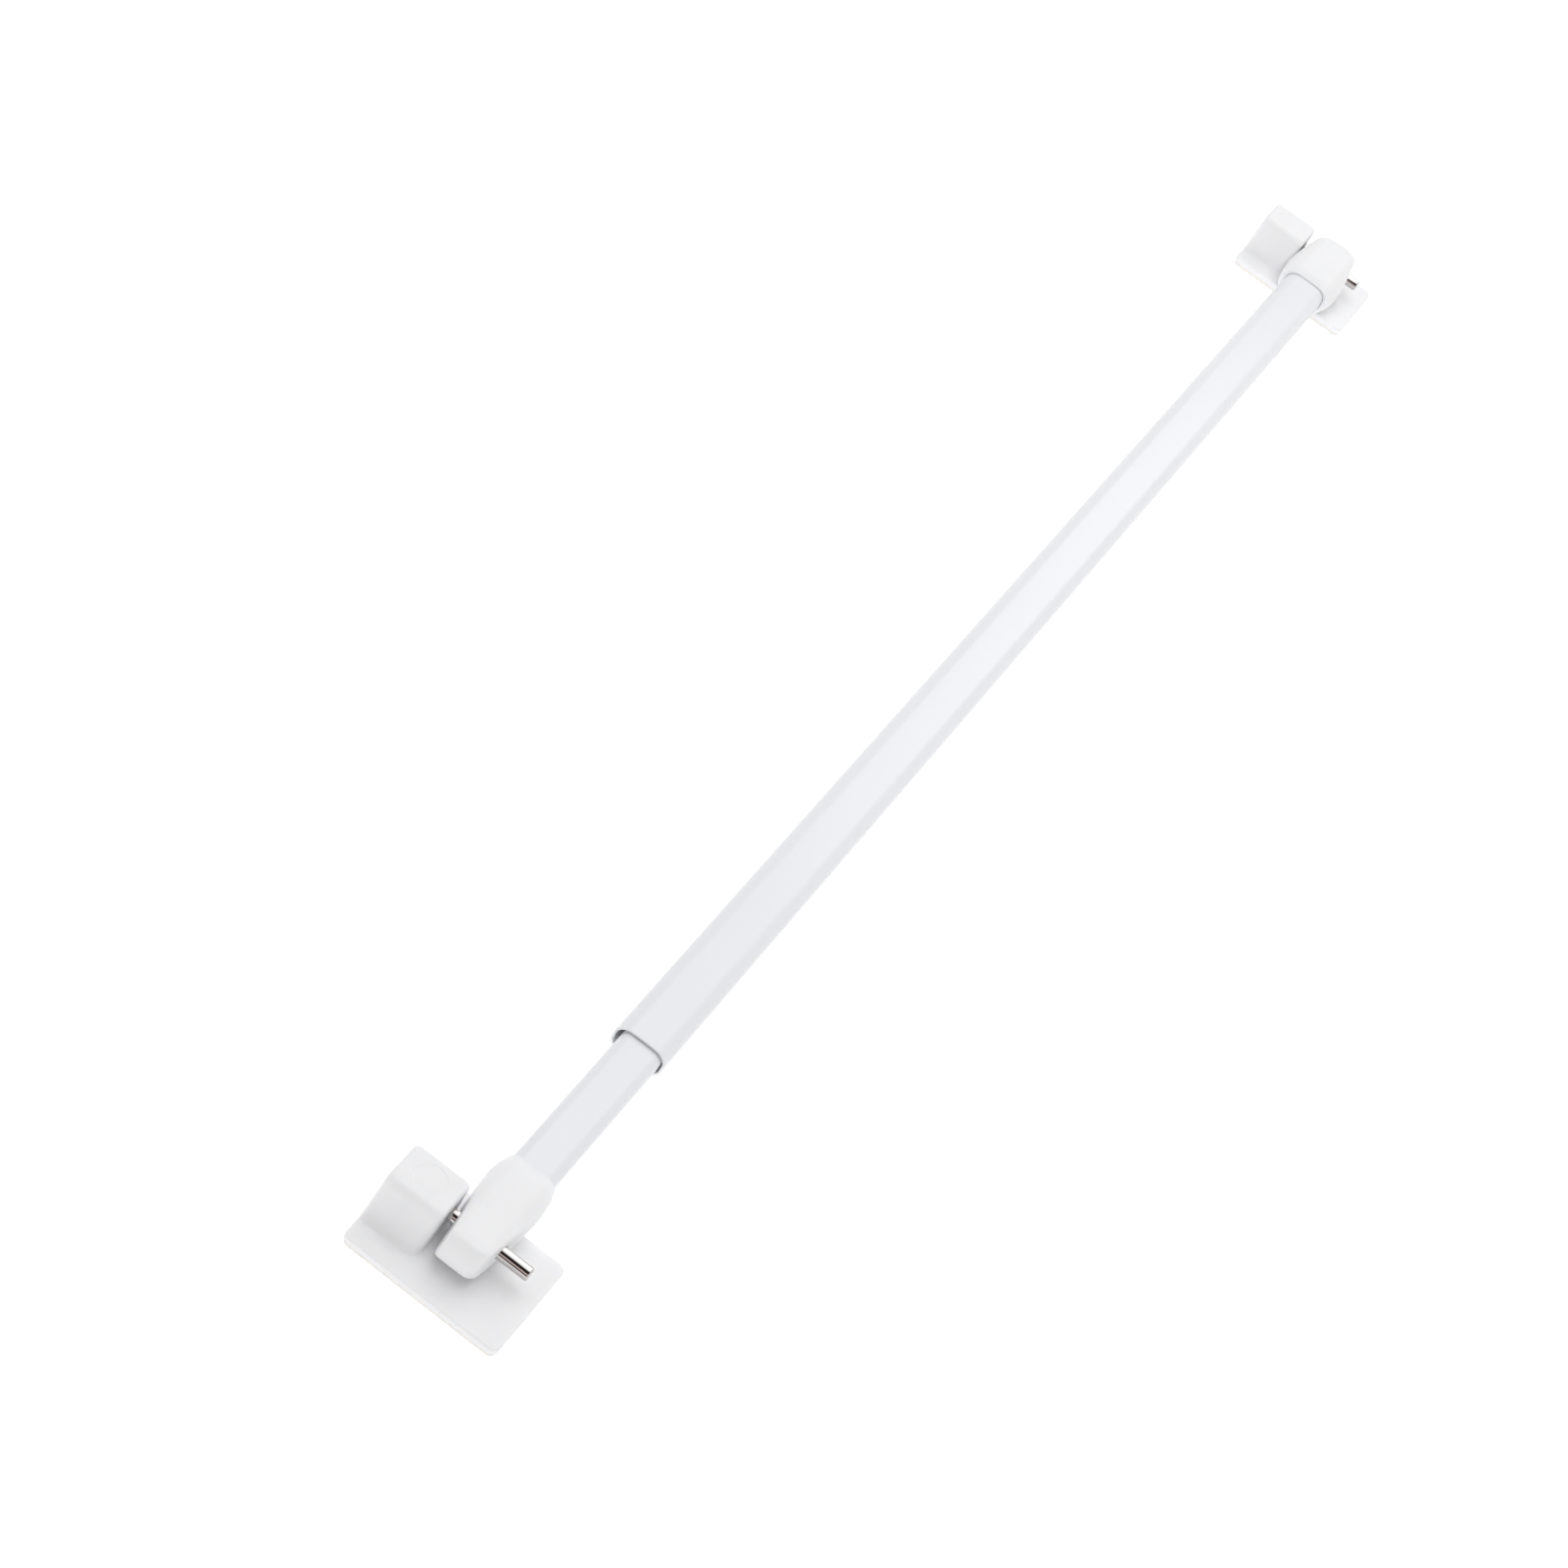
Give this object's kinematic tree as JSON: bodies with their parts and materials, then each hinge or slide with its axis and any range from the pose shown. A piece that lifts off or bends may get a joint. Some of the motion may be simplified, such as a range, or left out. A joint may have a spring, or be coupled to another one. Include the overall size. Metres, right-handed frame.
{
  "type": "telescopic cafe curtain rod",
  "caption": "White telescopic curtain rod of flat-oval tubes, with moulded eyes that drop over steel pins on self-adhesive brackets.",
  "frame": {"origin": "middle of the bounding box, at the height of the adhesive faces' release paper", "axes": "+X along the rod from the inner tube's end to the outer tube's end, +Y from the pins' free ends to the bracket blocks, +Z away from the surface that the brackets stick to"},
  "size_m": [0.4716, 0.0376, 0.0136],
  "materials": {
    "tube_lacquer": "white stoving lacquer on steel strip, satin gloss",
    "end_plastic": "moulded white plastic, half matt",
    "bracket_plastic": "moulded white plastic, half matt",
    "pin_steel": "drawn and polished bright steel",
    "adhesive_foam": "closed-cell foam tape, off-white",
    "release_paper": "siliconised release paper",
    "plug_plastic": "moulded acetal, matt",
    "spring_steel": "rolled spring strip, bright"
  },
  "bodies": {
    "outer_rod": {"outer_tube": "tube_lacquer", "outer_end_eye": "end_plastic"},
    "inner_rod": {"inner_tube": "tube_lacquer", "inner_end_eye": "end_plastic", "guide_plug": "plug_plastic", "friction_leaf": "spring_steel"},
    "near_pin": {"near_pin": "pin_steel"},
    "near_bracket": {"near_bracket": "bracket_plastic", "near_foam_pad": "adhesive_foam", "near_liner": "release_paper"},
    "far_pin": {"far_pin": "pin_steel"},
    "far_bracket": {"far_bracket": "bracket_plastic", "far_foam_pad": "adhesive_foam", "far_liner": "release_paper"}
  },
  "joints": [
    {"name": "length_slide", "type": "slide", "parent": "outer_rod", "child": "inner_rod", "axis": [-1, 0, 0], "range_m": [-0.0407, 0.159]},
    {"name": "near_lift_off", "type": "slide", "parent": "inner_rod", "child": "near_pin", "axis": [0, 1, 0], "range_m": [0, 0.0174]},
    {"name": "near_swivel", "type": "hinge", "parent": "near_pin", "child": "near_bracket", "pos_m": [-0.22135, 0, 0.00835], "axis": [0, 1, 0], "range_deg": [-6, 12]},
    {"name": "far_lift_off", "type": "slide", "parent": "outer_rod", "child": "far_pin", "axis": [0, 1, 0], "range_m": [0, 0.0174]},
    {"name": "far_swivel", "type": "hinge", "parent": "far_pin", "child": "far_bracket", "pos_m": [0.22485, 0, 0.00835], "axis": [0, 1, 0], "range_deg": [-8, 2]}
  ]
}
